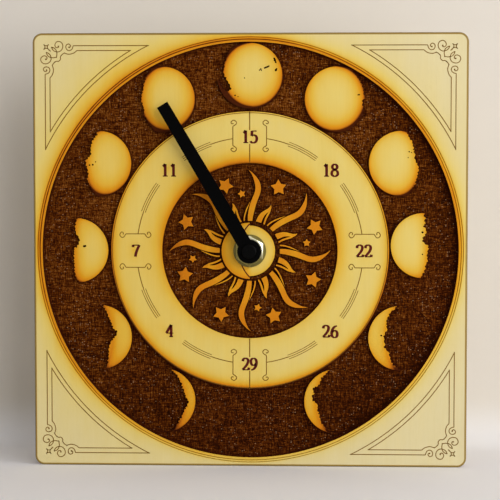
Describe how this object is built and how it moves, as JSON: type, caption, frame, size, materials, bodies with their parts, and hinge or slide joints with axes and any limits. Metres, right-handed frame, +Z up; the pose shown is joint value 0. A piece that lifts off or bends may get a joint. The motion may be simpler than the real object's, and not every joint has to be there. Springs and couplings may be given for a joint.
{
  "type": "moon phase clock",
  "caption": "Square wooden clock face with raised moon phases round a sun, a single black hand on a battery movement, and a swing-out rear foot.",
  "frame": {"origin": "middle of the face's bottom edge, halfway through its thickness, on the table", "axes": "+X to the viewer's right, +Y from the front of the face to its back, +Z up"},
  "size_m": [0.1524, 0.0552, 0.1524],
  "materials": {
    "plywood": "laser engraved, bare, burnt edges",
    "brass": "satin",
    "gasket_rubber": "matte",
    "zinc_steel": "zinc plated",
    "case_plastic": "fine texture",
    "nickel_nut": "nickel plated",
    "black_hand": "satin black paint",
    "gear_plastic": "moulded",
    "magnet": "sintered",
    "knob_plastic": "moulded",
    "train_plastic": "moulded",
    "motor_iron": "stamped",
    "bobbin_plastic": "moulded",
    "copper_wire": "enamelled wire",
    "board_green": "solder mask",
    "chip_black": "potted",
    "nickel_spring": "nickel plated",
    "battery_skin": "plain wrapper"
  },
  "bodies": {
    "clock_body": {"face_plate": "plywood", "hinge_fixed_leaf": "brass", "hinge_pin": "brass", "hinge_face_screws": "brass", "rubber_gasket": "gasket_rubber", "wall_hanger": "zinc_steel", "case_front": "case_plastic", "case_back": "case_plastic", "case_screws": "zinc_steel", "threaded_bush": "brass", "clamp_washer": "brass", "hex_nut": "nickel_nut", "train_plate": "train_plastic", "train_screws": "zinc_steel", "stator_plate": "motor_iron", "coil_core": "motor_iron", "coil_bobbin": "bobbin_plastic", "coil_winding": "copper_wire", "circuit_board": "board_green", "control_chip": "chip_black", "quartz_crystal": "nickel_nut", "contact_plus": "nickel_spring", "contact_minus": "nickel_spring"},
    "hand_train": {"moon_hand": "black_hand", "hand_cap": "black_hand", "moon_wheel": "gear_plastic"},
    "second_train": {"second_wheel": "gear_plastic"},
    "third_train": {"third_wheel": "gear_plastic"},
    "rotor_train": {"rotor_pinion": "gear_plastic", "rotor_magnet": "magnet"},
    "setting_train": {"setting_arbor": "gear_plastic", "setting_knob": "knob_plastic"},
    "foot": {"rear_foot": "plywood", "hinge_moving_leaf": "brass", "hinge_foot_screws": "brass"},
    "battery": {"battery_cell": "battery_skin"}
  },
  "joints": [
    {"name": "hand_turn", "type": "hinge", "parent": "clock_body", "child": "hand_train", "pos_m": [0, 0, 0.0762], "axis": [0, -1, 0], "continuous": true},
    {"name": "second_turn", "type": "hinge", "parent": "clock_body", "child": "second_train", "pos_m": [0.01039, 0, 0.0822], "axis": [0, -1, 0], "continuous": true},
    {"name": "third_turn", "type": "hinge", "parent": "clock_body", "child": "third_train", "pos_m": [0.00711, 0, 0.09122], "axis": [0, -1, 0], "continuous": true},
    {"name": "rotor_turn", "type": "hinge", "parent": "clock_body", "child": "rotor_train", "pos_m": [-0.00245, 0, 0.09206], "axis": [0, -1, 0], "continuous": true},
    {"name": "setting_turn", "type": "hinge", "parent": "clock_body", "child": "setting_train", "pos_m": [0.00983, 0, 0.06932], "axis": [0, -1, 0], "continuous": true},
    {"name": "foot_swing", "type": "hinge", "parent": "clock_body", "child": "foot", "pos_m": [0, 0.0046, 0.022], "axis": [0, 0, 1], "range_deg": [-90, 0]},
    {"name": "battery_lift", "type": "slide", "parent": "clock_body", "child": "battery", "axis": [0, 1, 0], "range_m": [0, 0.018]}
  ],
  "couplings": [
    {"joint": "second_turn", "follows": "hand_turn", "ratio": -4},
    {"joint": "third_turn", "follows": "hand_turn", "ratio": 12},
    {"joint": "rotor_turn", "follows": "hand_turn", "ratio": -36},
    {"joint": "setting_turn", "follows": "hand_turn", "ratio": -4}
  ]
}
